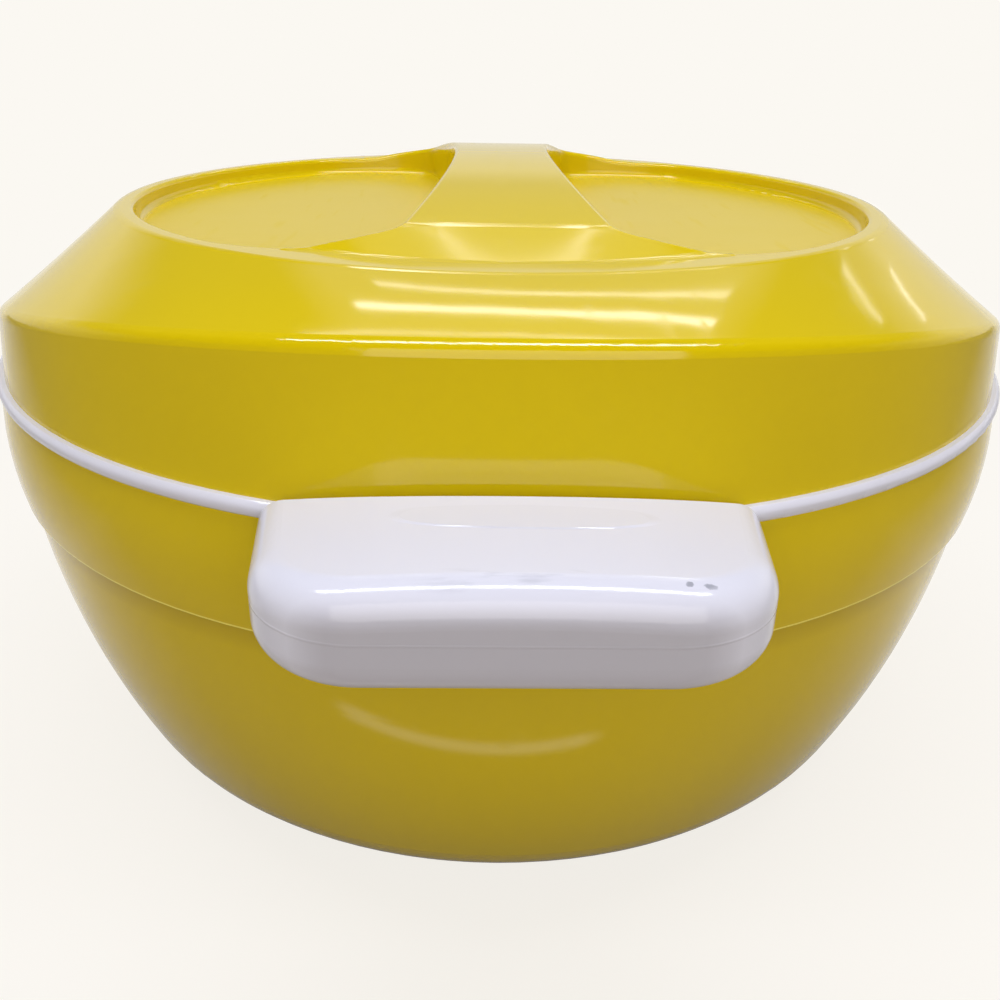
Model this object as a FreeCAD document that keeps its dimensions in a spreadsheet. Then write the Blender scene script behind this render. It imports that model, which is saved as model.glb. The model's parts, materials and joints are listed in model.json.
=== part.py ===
"""Insulated chapati casserole: a foam-filled bowl with a steel liner and a lift-off lid.

Millimetres, +Z up. The origin is the middle of the foot ring's underside. The two
handles lie along Y, and the lid's bridge grip runs the same way.
"""
import FreeCAD, Part
import math
import operator
import os

import Sketcher
from FreeCAD import Placement, Rotation, Vector

UP = Vector(0, 0, 1)
# How far a cutting tool runs past what it cuts, and how near counts as lying on a plane.
CLEAR = 1.0
NEAR = 0.01

# Driving dimensions, in millimetres: name, value, what it is.
DIMENSIONS = [
    # overall
    ("body_radius", 125.0, "lid's skirt, outside, at its lower edge"),
    ("seat_height", 105.0, "plane the lid rests on, above the table"),
    # lid, heights above that plane
    ("skirt_draft", 2.5, "skirt drawn in where its fold is highest"),
    ("crease_front", 28.9, "height of the skirt's fold over the handles"),
    ("crease_side", 8.0, "height of that fold between the handles"),
    ("crease_round", 3.0, "edge radius along the fold"),
    ("shoulder_run", 29.5, "shoulder in plan, from the skirt's foot to the rim"),
    ("rim_height", 34.3, "height of the rim round the finger wells"),
    ("rim_round", 3.0, "outer edge radius of the rim"),
    ("rim_width", 4.0, "width of the rim"),
    ("well_depth", 4.6, "finger well below the rim"),
    ("well_sweep", 36.0, "plan radius where a well's wall turns in to the bridge"),
    ("well_end", 15.2, "end of a well, along the bridge, inside the circle of its outer wall"),
    ("well_corner", 6.0, "plan radius between that turn and the bridge's side"),
    ("well_round", 2.0, "radius between a well's floor and walls"),
    ("lip_round", 1.2, "radius along a well's upper edge"),
    ("lid_wall", 3.0, "wall of the lid's outer shell"),
    # bridge grip across the lid
    ("waist_half", 12.1, "half the bridge's width at its middle"),
    ("flare_half", 21.0, "half its width at the ends of its arch"),
    ("crest_height", 45.2, "top of the bridge above the lid's seat"),
    ("ramp_run", 15.5, "ramp in plan, from its foot in to the end of the bridge's arch"),
    ("ramp_height", 38.6, "height of the bridge there"),
    ("ramp_land", 8.0, "flat between the foot of a ramp and the rim's outer edge"),
    ("ramp_blend", 20.0, "radius where the arch turns down into a ramp"),
    ("foot_blend", 6.0, "radius where a ramp runs out into the rim"),
    # lid liner
    ("liner_wall", 2.0, "lid liner wall"),
    ("liner_flange", 2.0, "lid liner flange thickness"),
    ("rebate_wall", 1.8, "skirt wall left beside the liner's flange"),
    ("plug_clearance", 1.8, "between the liner's plug and the steel bowl's mouth"),
    ("plug_taper", 1.0, "draft of that plug over its depth"),
    ("plug_depth", 9.0, "plug below the lid's seat"),
    ("plug_dome", 3.0, "rise of the plug's underside at its middle"),
    ("plug_round", 4.0, "plug's lower edge radius"),
    ("cap_radius", 11.0, "head of the cap over the lid's foam port"),
    ("cap_stem", 7.8, "stem of that cap"),
    ("cap_head", 1.4, "thickness of its head"),
    ("cap_round", 0.5, "edge of its head, drawn in"),
    ("cap_seat", 12.0, "flat round the port for that head"),
    # collar ring
    ("bead_height", 3.2, "visible bead under the lid"),
    ("bead_bulge", 0.9, "bead's bulge beyond the bowl"),
    ("land_thickness", 2.4, "collar's land under the lid"),
    ("land_round", 1.0, "inner edge radius of the land"),
    ("spigot_depth", 4.4, "collar's spigot down inside the bowl"),
    ("spigot_wall", 2.1, "wall of that spigot"),
    ("lug_half_width", 32.0, "half the width of a handle lug"),
    ("lug_setback", 9.5, "end of a handle lug behind the handle's front"),
    ("lug_thickness", 2.6, "handle lug thickness"),
    # outer bowl
    ("band_overhang", 1.0, "bowl's upper band outside the lid's skirt"),
    ("bowl_wall", 2.4, "bowl wall"),
    ("band_height", 24.0, "depth of the upper band"),
    ("band_draft", 0.6, "band drawn in at its lower edge"),
    ("band_sweep", 65.0, "radius of the band's barrel"),
    ("band_step", 1.5, "step in below the band"),
    ("band_undercut", 0.6, "fall of that step"),
    ("belly_inset", 18.5, "wall inside the band where it turns into the base"),
    ("belly_height", 15.4, "height of that turn"),
    ("belly_sweep", 195.0, "radius of the wall below the band"),
    ("base_inset", 21.5, "flat of the base inside that turn"),
    ("base_sweep", 23.6, "radius of the turn into the base"),
    ("foot_inset", 4.0, "foot ring's outside inside the flat of the base"),
    ("foot_width", 4.0, "foot ring width"),
    ("foot_height", 1.6, "foot ring height"),
    ("foot_taper", 0.6, "foot ring's sides drawn in at its underside"),
    ("port_radius", 9.0, "foam port in the base"),
    ("port_head", 12.0, "head of the plug in that port"),
    ("port_head_thickness", 1.2, "thickness of that head"),
    ("port_chamfer", 0.4, "edge of that head"),
    # steel bowl
    ("mouth_inset", 24.8, "steel bowl's mouth inside the outer bowl"),
    ("steel_gauge", 0.6, "steel sheet"),
    ("flange_width", 7.2, "steel flange under the collar"),
    ("steel_draft", 4.7, "steel wall drawn in above its turn"),
    ("steel_turn_height", 50.0, "height where its wall begins to turn"),
    ("steel_turn_run", 28.5, "that turn in plan"),
    ("steel_sweep", 28.6, "radius of that turn"),
    ("steel_floor", 24.0, "inside of its bottom above the table"),
    # handles
    ("handle_root_half", 43.0, "half the handle's width at the bowl"),
    ("handle_tip_half", 38.3, "half the handle's width at its front"),
    ("handle_overlap", 7.0, "start of the handle's form inside the bowl's band"),
    ("handle_length", 37.5, "handle's form from there to its front"),
    ("handle_drop", 14.0, "handle's underside below the lid's seat"),
    ("root_crown_top", 5.8, "handle's top at the bowl, above the lid's seat"),
    ("root_crown", 5.2, "crown of the top across the handle there"),
    ("tip_crown_top", 4.2, "handle's top at its front"),
    ("tip_crown", 1.6, "crown across the handle at its front"),
    ("handle_corner", 18.0, "plan radius of the handle's front corners"),
    ("handle_round", 6.0, "radius along the handle's long edges"),
    ("handle_wall", 2.4, "handle shell and cover wall"),
    ("screw_spacing", 48.0, "between a handle's two screws"),
    ("screw_offset", 12.0, "screws outside the bowl's band"),
    ("screw_radius", 1.5, "screw shank"),
    ("screw_head_radius", 3.0, "screw head"),
    ("screw_head_height", 2.0, "screw head height"),
    ("screw_recess", 2.0, "screw head above the handle's underside"),
    ("screw_grip", 2.6, "screw length past the lug"),
    ("boss_wall", 2.1, "wall of a screw boss in the handle shell"),
    ("post_wall", 1.3, "wall of a screw post in the handle cover, round the head"),
    # clearances
    ("fit_gap", 0.3, "round anything that only lies beside its neighbour"),
    ("screw_gap", 0.3, "screw in its lug and post"),
    ("thread_gap", 0.05, "screw in its pilot hole"),
    ("press_gap", 0.2, "stem or flange pushed into its hole"),
]

doc = FreeCAD.newDocument("InsulatedCasserole")
sheet = doc.addObject("Spreadsheet::Sheet", "Sizes")


class Size:
    """A length that knows its value and its formula in the sheet."""

    def __init__(self, value, formula):
        self.value = value
        self.formula = formula

    def __add__(self, other):
        return combine(self, other, "+", operator.add)

    def __radd__(self, other):
        return combine(other, self, "+", operator.add)

    def __sub__(self, other):
        return combine(self, other, "-", operator.sub)

    def __rsub__(self, other):
        return combine(other, self, "-", operator.sub)

    def __mul__(self, other):
        return combine(self, other, "*", operator.mul)

    def __rmul__(self, other):
        return combine(other, self, "*", operator.mul)

    def __truediv__(self, other):
        return combine(self, other, "/", operator.truediv)

    def __neg__(self):
        return self * -1.0


def as_size(number):
    if isinstance(number, Size):
        return number
    return Size(float(number), f"({float(number)})")


def combine(left, right, sign, work):
    left = as_size(left)
    right = as_size(right)
    return Size(work(left.value, right.value), f"({left.formula} {sign} {right.formula})")


def fill_sheet():
    """Write each driving dimension to its own row, with its name as the alias."""
    sheet.set("A1", "Dimension (mm)")
    for row, (name, value, meaning) in enumerate(DIMENSIONS, start=2):
        sheet.set(f"A{row}", meaning)
        sheet.set(f"B{row}", str(value))
        sheet.setAlias(f"B{row}", name)
    doc.recompute()
    return {name: Size(value, f"Sizes.{name}") for name, value, _ in DIMENSIONS}


D = fill_sheet()

# Sizes that follow from the driving ones, so that what meets stays together.
SEAT = D["seat_height"]
RIM_TOP = SEAT + D["rim_height"]
RIM_RADIUS = D["body_radius"] - D["shoulder_run"]
WELL_RADIUS = RIM_RADIUS - D["rim_width"]
WELL_FLOOR = RIM_TOP - D["well_depth"]
SWEEP_CENTRE = WELL_RADIUS - D["well_end"] - D["well_sweep"]
RAMP_RADIUS = RIM_RADIUS - D["ramp_land"]
RAMP_START = RAMP_RADIUS - D["ramp_run"]
FLARE = D["flare_half"] - D["waist_half"]
WAIST_SWEEP = (RAMP_START * RAMP_START + FLARE * FLARE) / (2.0 * FLARE)
WAIST_CENTRE = D["waist_half"] + WAIST_SWEEP
BOWL_RADIUS = D["body_radius"] + D["band_overhang"]
BAND_BULGE = D["band_height"] * D["band_height"] / (8.0 * D["band_sweep"])
BAND_FOOT_RADIUS = BOWL_RADIUS - D["band_draft"]
BELLY_RADIUS = BOWL_RADIUS - D["belly_inset"]
BASE_RADIUS = BELLY_RADIUS - D["base_inset"]
FOOT_RADIUS = BASE_RADIUS - D["foot_inset"]
BASE_TOP = D["foot_height"] + D["bowl_wall"]
COLLAR_LOW = SEAT - D["bead_height"]
LAND_LOW = SEAT - D["land_thickness"]
SPIGOT_LOW = COLLAR_LOW - D["spigot_depth"]
SPIGOT_OUTER = BOWL_RADIUS - D["bowl_wall"] - 2.0 * D["fit_gap"]
SPIGOT_INNER = SPIGOT_OUTER - D["spigot_wall"]
MOUTH_RADIUS = BOWL_RADIUS - D["mouth_inset"]
COLLAR_INNER = MOUTH_RADIUS + D["steel_gauge"]
FLANGE_RADIUS = COLLAR_INNER + D["flange_width"]
FLANGE_LOW = LAND_LOW - D["steel_gauge"]
STEEL_TURN_RADIUS = MOUTH_RADIUS - D["steel_draft"]
STEEL_BOTTOM_RADIUS = STEEL_TURN_RADIUS - D["steel_turn_run"]
PLUG_OUTER = MOUTH_RADIUS - D["plug_clearance"]
HANDLE_ROOT = BOWL_RADIUS - D["handle_overlap"]
HANDLE_REACH = HANDLE_ROOT + D["handle_length"]
HANDLE_LOW = SEAT - D["handle_drop"]
LUG_REACH = HANDLE_REACH - D["lug_setback"]
LUG_TOP = COLLAR_LOW + D["lug_thickness"]
SCREW_REACH = BOWL_RADIUS + D["screw_offset"]


# ---------------------------------------------------------------- sketch helpers

def bind(thing, path, size):
    thing.setExpression(path, as_size(size).formula)


def origin_plane(body, role):
    return next(item for item in body.Origin.OriginFeatures if item.Role == role)


def new_body(name):
    return doc.addObject("PartDesign::Body", name)


def new_sketch(body, name, role, offset=None):
    """A sketch on one of the body's own planes, moved along its normal by offset."""
    sketch = body.newObject("Sketcher::SketchObject", name)
    sketch.AttachmentSupport = [(origin_plane(body, role), "")]
    sketch.MapMode = "FlatFace"
    if offset is not None:
        bind(sketch, "AttachmentOffset.Base.z", offset)
    return sketch


def pin(sketch, geometry, end, across, up):
    """Hold one point of a sketch at (across, up) from its origin."""
    for kind, size, axis in (("DistanceX", across, -2), ("DistanceY", up, -1)):
        if not isinstance(size, Size) and size == 0:
            sketch.addConstraint(Sketcher.Constraint("PointOnObject", geometry, end, axis))
            continue
        size = as_size(size)
        index = sketch.addConstraint(
            Sketcher.Constraint(kind, -1, 1, geometry, end, size.value))
        bind(sketch, f"Constraints[{index}]", size)


def arc_between(start, stop, radius):
    """The short arc from start to stop; a positive radius bulges right of its travel."""
    chord = stop - start
    half = chord.Length / 2.0
    side = Vector(chord.y, -chord.x, 0).normalize()
    away = math.sqrt(max(radius * radius - half * half, 0.0))
    sign = 1.0 if radius > 0 else -1.0
    centre = (start + stop) * 0.5 - side * (away * sign)
    first, last = (start, stop) if radius > 0 else (stop, start)
    angles = [math.atan2(p.y - centre.y, p.x - centre.x) for p in (first, last)]
    circle = Part.Circle(centre, UP, abs(radius))
    return Part.ArcOfCircle(circle, angles[0], angles[1])


def outline(sketch, corners):
    """Close a sketch through corners of (across, up) or (across, up, radius).

    With a radius, the side that arrives at that corner is an arc.
    """
    points = [Vector(as_size(c[0]).value, as_size(c[1]).value, 0) for c in corners]
    ends = []
    for number, corner in enumerate(corners):
        start = points[number - 1]
        stop = points[number]
        if len(corner) == 2:
            ends.append((sketch.addGeometry(Part.LineSegment(start, stop), False), 1, 2))
            continue
        radius = as_size(corner[2])
        index = sketch.addGeometry(arc_between(start, stop, radius.value), False)
        ends.append((index, 1, 2) if radius.value > 0 else (index, 2, 1))
        rule = sketch.addConstraint(Sketcher.Constraint("Radius", index, abs(radius.value)))
        bind(sketch, f"Constraints[{rule}]", radius if radius.value > 0 else -radius)
    for number, (index, first, _) in enumerate(ends):
        before, _, last = ends[number - 1]
        sketch.addConstraint(Sketcher.Constraint("Coincident", before, last, index, first))
    for (index, _, last), corner in zip(ends, corners):
        pin(sketch, index, last, corner[0], corner[1])
    return sketch


def revolved(name, corners):
    """A body turned about Z from a closed half profile of (radius, height) corners."""
    body = new_body(name)
    sketch = outline(new_sketch(body, f"{name}_profile", "XZ_Plane"), corners)
    turn = body.newObject("PartDesign::Revolution", f"{name}_turn")
    turn.Profile = sketch
    turn.ReferenceAxis = (sketch, ["V_Axis"])
    turn.Angle = 360.0
    return body


def rounded(body, name, radius, wanted):
    """Round every edge of the body's last feature for which wanted(edge) holds."""
    doc.recompute()
    feature = body.Tip
    edges = [f"Edge{number}" for number, edge in enumerate(feature.Shape.Edges, start=1)
             if wanted(edge)]
    if not edges:
        raise ValueError(f"{name} finds no edge to round")
    fillet = body.newObject("PartDesign::Fillet", name)
    fillet.Base = (feature, edges)
    bind(fillet, "Radius", radius)
    doc.recompute()
    return fillet


# ---------------------------------------------------------------- solid helpers

def cylinder(name, radius, low, high, across=0.0, along=0.0):
    drum = doc.addObject("Part::Cylinder", name)
    bind(drum, "Radius", radius)
    bind(drum, "Height", as_size(high) - low)
    bind(drum, "Placement.Base.x", across)
    bind(drum, "Placement.Base.y", along)
    bind(drum, "Placement.Base.z", low)
    return drum


def slab(name, half_width, near, far, low, high):
    """A block centred on X that runs from Y = -near to Y = -far."""
    block = doc.addObject("Part::Box", name)
    bind(block, "Length", 2.0 * as_size(half_width))
    bind(block, "Width", as_size(far) - near)
    bind(block, "Height", as_size(high) - low)
    bind(block, "Placement.Base.x", -as_size(half_width))
    bind(block, "Placement.Base.y", -as_size(far))
    bind(block, "Placement.Base.z", low)
    return block


def fused(name, parts):
    join = doc.addObject("Part::MultiFuse", name)
    join.Shapes = parts
    join.Refine = True
    return join


def shared(name, first, second):
    overlap = doc.addObject("Part::Common", name)
    overlap.Base = first
    overlap.Tool = second
    return overlap


def cut(name, base, tool):
    rest = doc.addObject("Part::Cut", name)
    rest.Base = base
    rest.Tool = tool
    return rest


nodes = {}


def node(name, thing):
    """Give a finished sub-part its own name, which is also its file's name."""
    thing.Label = name
    nodes[name] = thing
    return thing


# ---------------------------------------------------------------- lid

FOLD_POINTS = 48
FOLD_SOFTNESS = 0.15
# How far the fold falls and the rim draws in when the form is drawn in by one millimetre:
# both follow from the slope of the shoulder there.
FOLD_DROP_FRONT = 0.83
FOLD_DROP_SIDE = 0.4
RIM_DRAW = 0.35


def circle_at(name, radius, height):
    ring = doc.addObject("Part::Circle", name)
    bind(ring, "Radius", radius)
    bind(ring, "Placement.Base.z", height)
    return ring


def fold_line(name, inset, front, side):
    """The skirt's upper edge: high over the handles and low between them.

    Its height rises with the distance from the X axis, rounded where that is nothing,
    and it lies on the skirt's cone, drawn in by inset.
    """
    draft = D["skirt_draft"] / D["crease_front"]
    foot = D["body_radius"] - inset
    flat = math.sqrt(1.0 + FOLD_SOFTNESS ** 2) - FOLD_SOFTNESS
    points = []
    for step in range(FOLD_POINTS):
        angle = 2.0 * math.pi * step / FOLD_POINTS
        rise = math.sqrt(math.sin(angle) ** 2 + FOLD_SOFTNESS ** 2) - FOLD_SOFTNESS
        height = side.value + (front.value - side.value) * rise / flat
        radius = foot.value - draft.value * (height - SEAT.value)
        points.append(Vector(radius * math.cos(angle), radius * math.sin(angle), height))
    curve = Part.BSplineCurve()
    curve.interpolate(Points=points, PeriodicFlag=True)
    line = doc.addObject("Part::Feature", name)
    line.Shape = Part.Wire([curve.toShape()])
    return line


def lid_blank(name, inset):
    """The lid's plain outer form, or the same form drawn in by inset for its inside."""
    foot = circle_at(f"{name}_foot", D["body_radius"] - inset, SEAT)
    fold = fold_line(f"{name}_fold", inset,
                     SEAT + D["crease_front"] - FOLD_DROP_FRONT * inset,
                     SEAT + D["crease_side"] - FOLD_DROP_SIDE * inset)
    rim = circle_at(f"{name}_rim", RIM_RADIUS - RIM_DRAW * inset, RIM_TOP - inset)
    blank = doc.addObject("Part::Loft", name)
    blank.Sections = [foot, fold, rim]
    blank.Solid = True
    blank.Ruled = True
    return blank


def bridge_ramps(body, name, inset):
    """The bridge's foot: straight ends above, run out to the rim's circle below."""
    reach = RAMP_RADIUS - inset
    along = RAMP_START + CLEAR
    across = Size(math.sqrt(reach.value ** 2 - along.value ** 2),
                  f"sqrt({reach.formula} ^ 2 - {along.formula} ^ 2)")
    low = new_sketch(body, f"{name}_low", "XY_Plane", RIM_TOP - inset)
    outline(low, [(across, along), (-across, along, reach), (-across, -along),
                  (across, -along, reach)])
    start = RAMP_START
    high = new_sketch(body, f"{name}_high", "XY_Plane", SEAT + D["ramp_height"] - inset)
    outline(high, [(across, start), (-across, start), (-across, -start), (across, -start)])
    ramps = body.newObject("PartDesign::AdditiveLoft", f"{name}_ramps")
    ramps.Profile = low
    ramps.Sections = [high]
    ramps.Ruled = True
    return ramps


def bridge_arch(body, name, inset):
    """The bridge's arched back, wider than the bridge: the wells cut it to its sides."""
    start = RAMP_START
    rise = D["crest_height"] - D["ramp_height"]
    sweep = (start * start + rise * rise) / (2.0 * rise)
    foot = SEAT + D["ramp_height"] - inset
    arch = new_sketch(body, f"{name}_section", "YZ_Plane")
    outline(arch, [(start, foot), (-start, foot, sweep)])
    pad = body.newObject("PartDesign::Pad", f"{name}_arch")
    pad.Profile = arch
    bind(pad, "Length", WELL_RADIUS)
    pad.SideType = "Symmetric"
    return pad


def meeting_point(first, first_radius, second, second_radius):
    """Where two circles about first and second cross, on the left of first to second."""
    apart = second - first
    along = (first_radius ** 2 - second_radius ** 2 + apart.Length ** 2) / (2.0 * apart.Length)
    aside = math.sqrt(first_radius ** 2 - along ** 2)
    ahead = Vector(apart).normalize()
    return first + ahead * along + Vector(-ahead.y, ahead.x, 0) * aside


def well_outline(sketch, inset):
    """Two D-shaped wells, one each side of the bridge, drawn out by inset.

    Each is six arcs that run into one another: the outer wall, the sweep that turns it in
    to the bridge, a small corner, the bridge's hollowed side, and the same back again.
    """
    outer = WELL_RADIUS + inset
    sweep = D["well_sweep"] + inset
    corner = D["well_corner"] + inset
    side = WAIST_SWEEP + inset
    across = math.sqrt((outer.value - sweep.value) ** 2 - SWEEP_CENTRE.value ** 2)
    sweep_at = Vector(across, SWEEP_CENTRE.value, 0)
    side_at = Vector(WAIST_CENTRE.value, 0, 0)
    corner_at = meeting_point(sweep_at, sweep.value - corner.value,
                              side_at, side.value - corner.value)
    to_sweep = math.atan2(sweep_at.y, sweep_at.x)
    to_corner = math.atan2(corner_at.y - sweep_at.y, corner_at.x - sweep_at.x)
    to_side = math.atan2(corner_at.y - side_at.y, corner_at.x - side_at.x)
    add = sketch.addConstraint
    for sign, turn in ((1.0, 0.0), (-1.0, math.pi)):
        arcs = []
        for x, y, size, first, last in (
                (0.0, 0.0, outer, -to_sweep, to_sweep),
                (sweep_at.x, sweep_at.y, sweep, to_sweep, to_corner),
                (corner_at.x, corner_at.y, corner, to_corner, to_side),
                (side_at.x, 0.0, side, to_side, 2 * math.pi - to_side),
                (corner_at.x, -corner_at.y, corner, -to_side, -to_corner),
                (sweep_at.x, -sweep_at.y, sweep, -to_corner, -to_sweep)):
            circle = Part.Circle(Vector(sign * x, sign * y, 0), UP, size.value)
            arcs.append(sketch.addGeometry(
                Part.ArcOfCircle(circle, turn + first, turn + last), False))
            rule = add(Sketcher.Constraint("Radius", arcs[-1], size.value))
            bind(sketch, f"Constraints[{rule}]", size)
        for number, arc in enumerate(arcs):
            add(Sketcher.Constraint("Tangent", arcs[number - 1], 2, arc, 1))
        add(Sketcher.Constraint("Coincident", arcs[0], 3, -1, 1))
        pin(sketch, arcs[3], 3, sign * WAIST_CENTRE, 0)
        for arc, end in ((arcs[1], 1.0), (arcs[5], -1.0)):
            height = sign * end * SWEEP_CENTRE
            rule = add(Sketcher.Constraint("DistanceY", -1, 1, arc, 3, height.value))
            bind(sketch, f"Constraints[{rule}]", height)
    return sketch


def cut_wells(body, name, floor, inset):
    """Sink the two wells from above down to floor."""
    plan = well_outline(new_sketch(body, f"{name}_plan", "XY_Plane", floor), inset)
    wells = body.newObject("PartDesign::Pocket", name)
    wells.Profile = plan
    bind(wells, "Length", D["crest_height"])
    wells.Reversed = True
    return wells


def crown_form(name, blank, inset, floor):
    """The blank with the bridge on top and the wells cut beside it."""
    body = new_body(name)
    body.BaseFeature = blank
    bridge_ramps(body, name, inset)
    bridge_arch(body, name, inset)
    cut_wells(body, f"{name}_wells", floor, inset)
    doc.recompute()
    return body


def is_level(edge, height):
    box = edge.BoundBox
    return abs(box.ZMin - height.value) < NEAR and abs(box.ZMax - height.value) < NEAR


def rim_edge(edge):
    return is_level(edge, RIM_TOP) and abs(edge.BoundBox.XMax - RIM_RADIUS.value) < 0.1


def well_floor_edge(edge):
    return is_level(edge, WELL_FLOOR)


def ramp_crest_edge(edge):
    """The straight edge across the bridge where its arch turns down into a ramp."""
    straight = edge.Curve.TypeId == "Part::GeomLine" and edge.BoundBox.YLength < NEAR
    return straight and is_level(edge, SEAT + D["ramp_height"])


def ramp_foot_edge(edge):
    """The arc where a ramp meets the rim."""
    round_edge = edge.Curve.TypeId == "Part::GeomCircle" and is_level(edge, RIM_TOP)
    return round_edge and abs(edge.Curve.Radius - RAMP_RADIUS.value) < NEAR


def well_lips(shape):
    """Tells a well's upper edges: above the ramps' foot, with one upright face."""
    def upright(face, point):
        return abs(face.normalAt(*face.Surface.parameter(point)).z) < NEAR

    def wanted(edge):
        if edge.BoundBox.ZMin < RIM_TOP.value - NEAR:
            return False
        middle = edge.valueAt((edge.FirstParameter + edge.LastParameter) / 2.0)
        beside = [face for face in shape.Faces
                  if any(side.isSame(edge) for side in face.Edges)]
        return [upright(face, middle) for face in beside].count(True) == 1

    return wanted


def fold_edge(edge):
    """The skirt's upper edge is the one closed edge that isn't level."""
    box = edge.BoundBox
    return box.ZLength > 1.0 and box.XLength > D["body_radius"].value


def make_lid_form():
    """The lid's outside, with its bridge, fold, rim and wells rounded as moulded."""
    body = crown_form("lid_form", lid_blank("lid_blank", as_size(0.0)), as_size(0.0),
                      WELL_FLOOR)
    rounded(body, "ramp_crest_blend", D["ramp_blend"], ramp_crest_edge)
    rounded(body, "ramp_foot_blend", D["foot_blend"], ramp_foot_edge)
    rounded(body, "fold_rounding", D["crease_round"], fold_edge)
    rounded(body, "rim_rounding", D["rim_round"], rim_edge)
    rounded(body, "well_rounding", D["well_round"], well_floor_edge)
    rounded(body, "lip_rounding", D["lip_round"], well_lips(body.Tip.Shape))
    return body


def lid_inside(name, inset):
    """The lid's hollow: the outer form drawn in by inset, with no well in its walls."""
    floor = WELL_FLOOR - inset
    return crown_form(name, lid_blank(f"{name}_blank", inset), inset, floor)


def make_lid():
    wall = D["lid_wall"]
    gap = D["fit_gap"]
    form = make_lid_form()
    hollow = lid_inside("lid_hollow", wall)
    rebate_top = SEAT + gap + D["liner_flange"]
    rebate_radius = D["body_radius"] - D["rebate_wall"]
    rebate = cylinder("liner_rebate", rebate_radius, SEAT - CLEAR, rebate_top)
    opened = cut("lid_opened", form, hollow)
    node("lid_outer_shell", cut("lid_shell_solid", opened, rebate))

    # liner: a flange in the skirt's rebate, and a plug that reaches into the bowl
    flange_radius = rebate_radius - D["press_gap"]
    flange_low = SEAT + gap
    plug_low = SEAT - D["plug_depth"]
    thick = D["liner_wall"]
    foot_radius = PLUG_OUTER - D["plug_taper"]
    turn = D["plug_round"]
    port = D["cap_stem"] + D["press_gap"]
    dome = plug_low + D["plug_dome"]
    liner = revolved("lid_liner_body", [
        (flange_radius, flange_low),
        (flange_radius, rebate_top),
        (PLUG_OUTER - thick, rebate_top),
        (foot_radius - thick, plug_low + turn),
        (foot_radius - turn, plug_low + thick, -(turn - thick)),
        (D["cap_seat"], dome + thick),
        (port, dome + thick),
        (port, dome),
        (D["cap_seat"], dome),
        (foot_radius - turn, plug_low),
        (foot_radius, plug_low + turn, turn),
        (PLUG_OUTER, flange_low),
    ])
    node("lid_inner_liner", liner)

    cap = revolved("lid_cap_body", [
        (0, dome - D["cap_head"]),
        (D["cap_radius"] - D["cap_round"], dome - D["cap_head"]),
        (D["cap_radius"], dome - D["cap_head"] + D["cap_round"], D["cap_round"]),
        (D["cap_radius"], dome),
        (D["cap_stem"], dome),
        (D["cap_stem"], dome + thick),
        (0, dome + thick),
    ])
    node("lid_foam_port_cap", cap)

    # foam: the hollow less a gap, down on to the liner
    foam_form = lid_inside("lid_foam_form", wall + gap)
    trim = cylinder("lid_foam_trim", D["body_radius"], SEAT - CLEAR, rebate_top)
    upper_foam = cut("lid_foam_upper", foam_form, trim)
    lower_foam = revolved("lid_foam_lower_body", [
        (0, dome + thick + gap),
        (D["cap_seat"], dome + thick + gap),
        (foot_radius - turn, plug_low + thick + gap),
        (foot_radius - thick - gap, plug_low + turn, turn - thick - gap),
        (PLUG_OUTER - thick - gap, rebate_top),
        (0, rebate_top),
    ])
    node("lid_insulation", fused("lid_foam_solid", [upper_foam, lower_foam]))


# ---------------------------------------------------------------- collar and bowl

# The bowl's inner wall for each millimetre of its thickness: how far it draws in and rises
# at the turn into the base, from the slope there, and draws in at the edge of the flat.
BELLY_DRAW = 0.9
BELLY_RISE = 0.45
BASE_DRAW = 0.1


def bowl_wall(inset, top):
    """Corners of the bowl's outside from its upper edge to its base, drawn in by inset."""
    band_low = COLLAR_LOW - D["band_height"]
    return [
        (BOWL_RADIUS - inset, top),
        (BAND_FOOT_RADIUS - inset, band_low, -(D["band_sweep"] - inset)),
        (BAND_FOOT_RADIUS - D["band_step"] - inset, band_low - D["band_undercut"]),
        (BELLY_RADIUS - BELLY_DRAW * inset, D["belly_height"] + BELLY_RISE * inset,
         -(D["belly_sweep"] - inset)),
        (BASE_RADIUS - BASE_DRAW * inset, D["foot_height"] + inset,
         -(D["base_sweep"] - inset)),
    ]


def make_bowl():
    port = D["port_radius"]
    outside = bowl_wall(as_size(0.0), COLLAR_LOW)
    inside = bowl_wall(D["bowl_wall"], COLLAR_LOW)
    # the inner wall is walked the other way, so each arc belongs to its other end
    way_back = [
        (inside[4][0], inside[4][1]),
        (inside[3][0], inside[3][1], -inside[4][2]),
        (inside[2][0], inside[2][1], -inside[3][2]),
        (inside[1][0], inside[1][1]),
        (inside[0][0], inside[0][1], -inside[1][2]),
    ]
    foot_inner = FOOT_RADIUS - D["foot_width"]
    foot = [
        (FOOT_RADIUS, D["foot_height"]),
        (FOOT_RADIUS - D["foot_taper"], 0),
        (foot_inner + D["foot_taper"], 0),
        (foot_inner, D["foot_height"]),
        (port, D["foot_height"]),
        (port, BASE_TOP),
    ]
    node("outer_bowl", revolved("outer_bowl_body", outside + foot + way_back))

    stem = port - D["press_gap"]
    plug_low = D["foot_height"] - D["port_head_thickness"]
    node("base_foam_port_plug", revolved("base_plug_body", [
        (0, plug_low),
        (D["port_head"] - D["port_chamfer"], plug_low),
        (D["port_head"], plug_low + D["port_chamfer"]),
        (D["port_head"], D["foot_height"]),
        (stem, D["foot_height"]),
        (stem, BASE_TOP),
        (0, BASE_TOP),
    ]))


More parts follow.
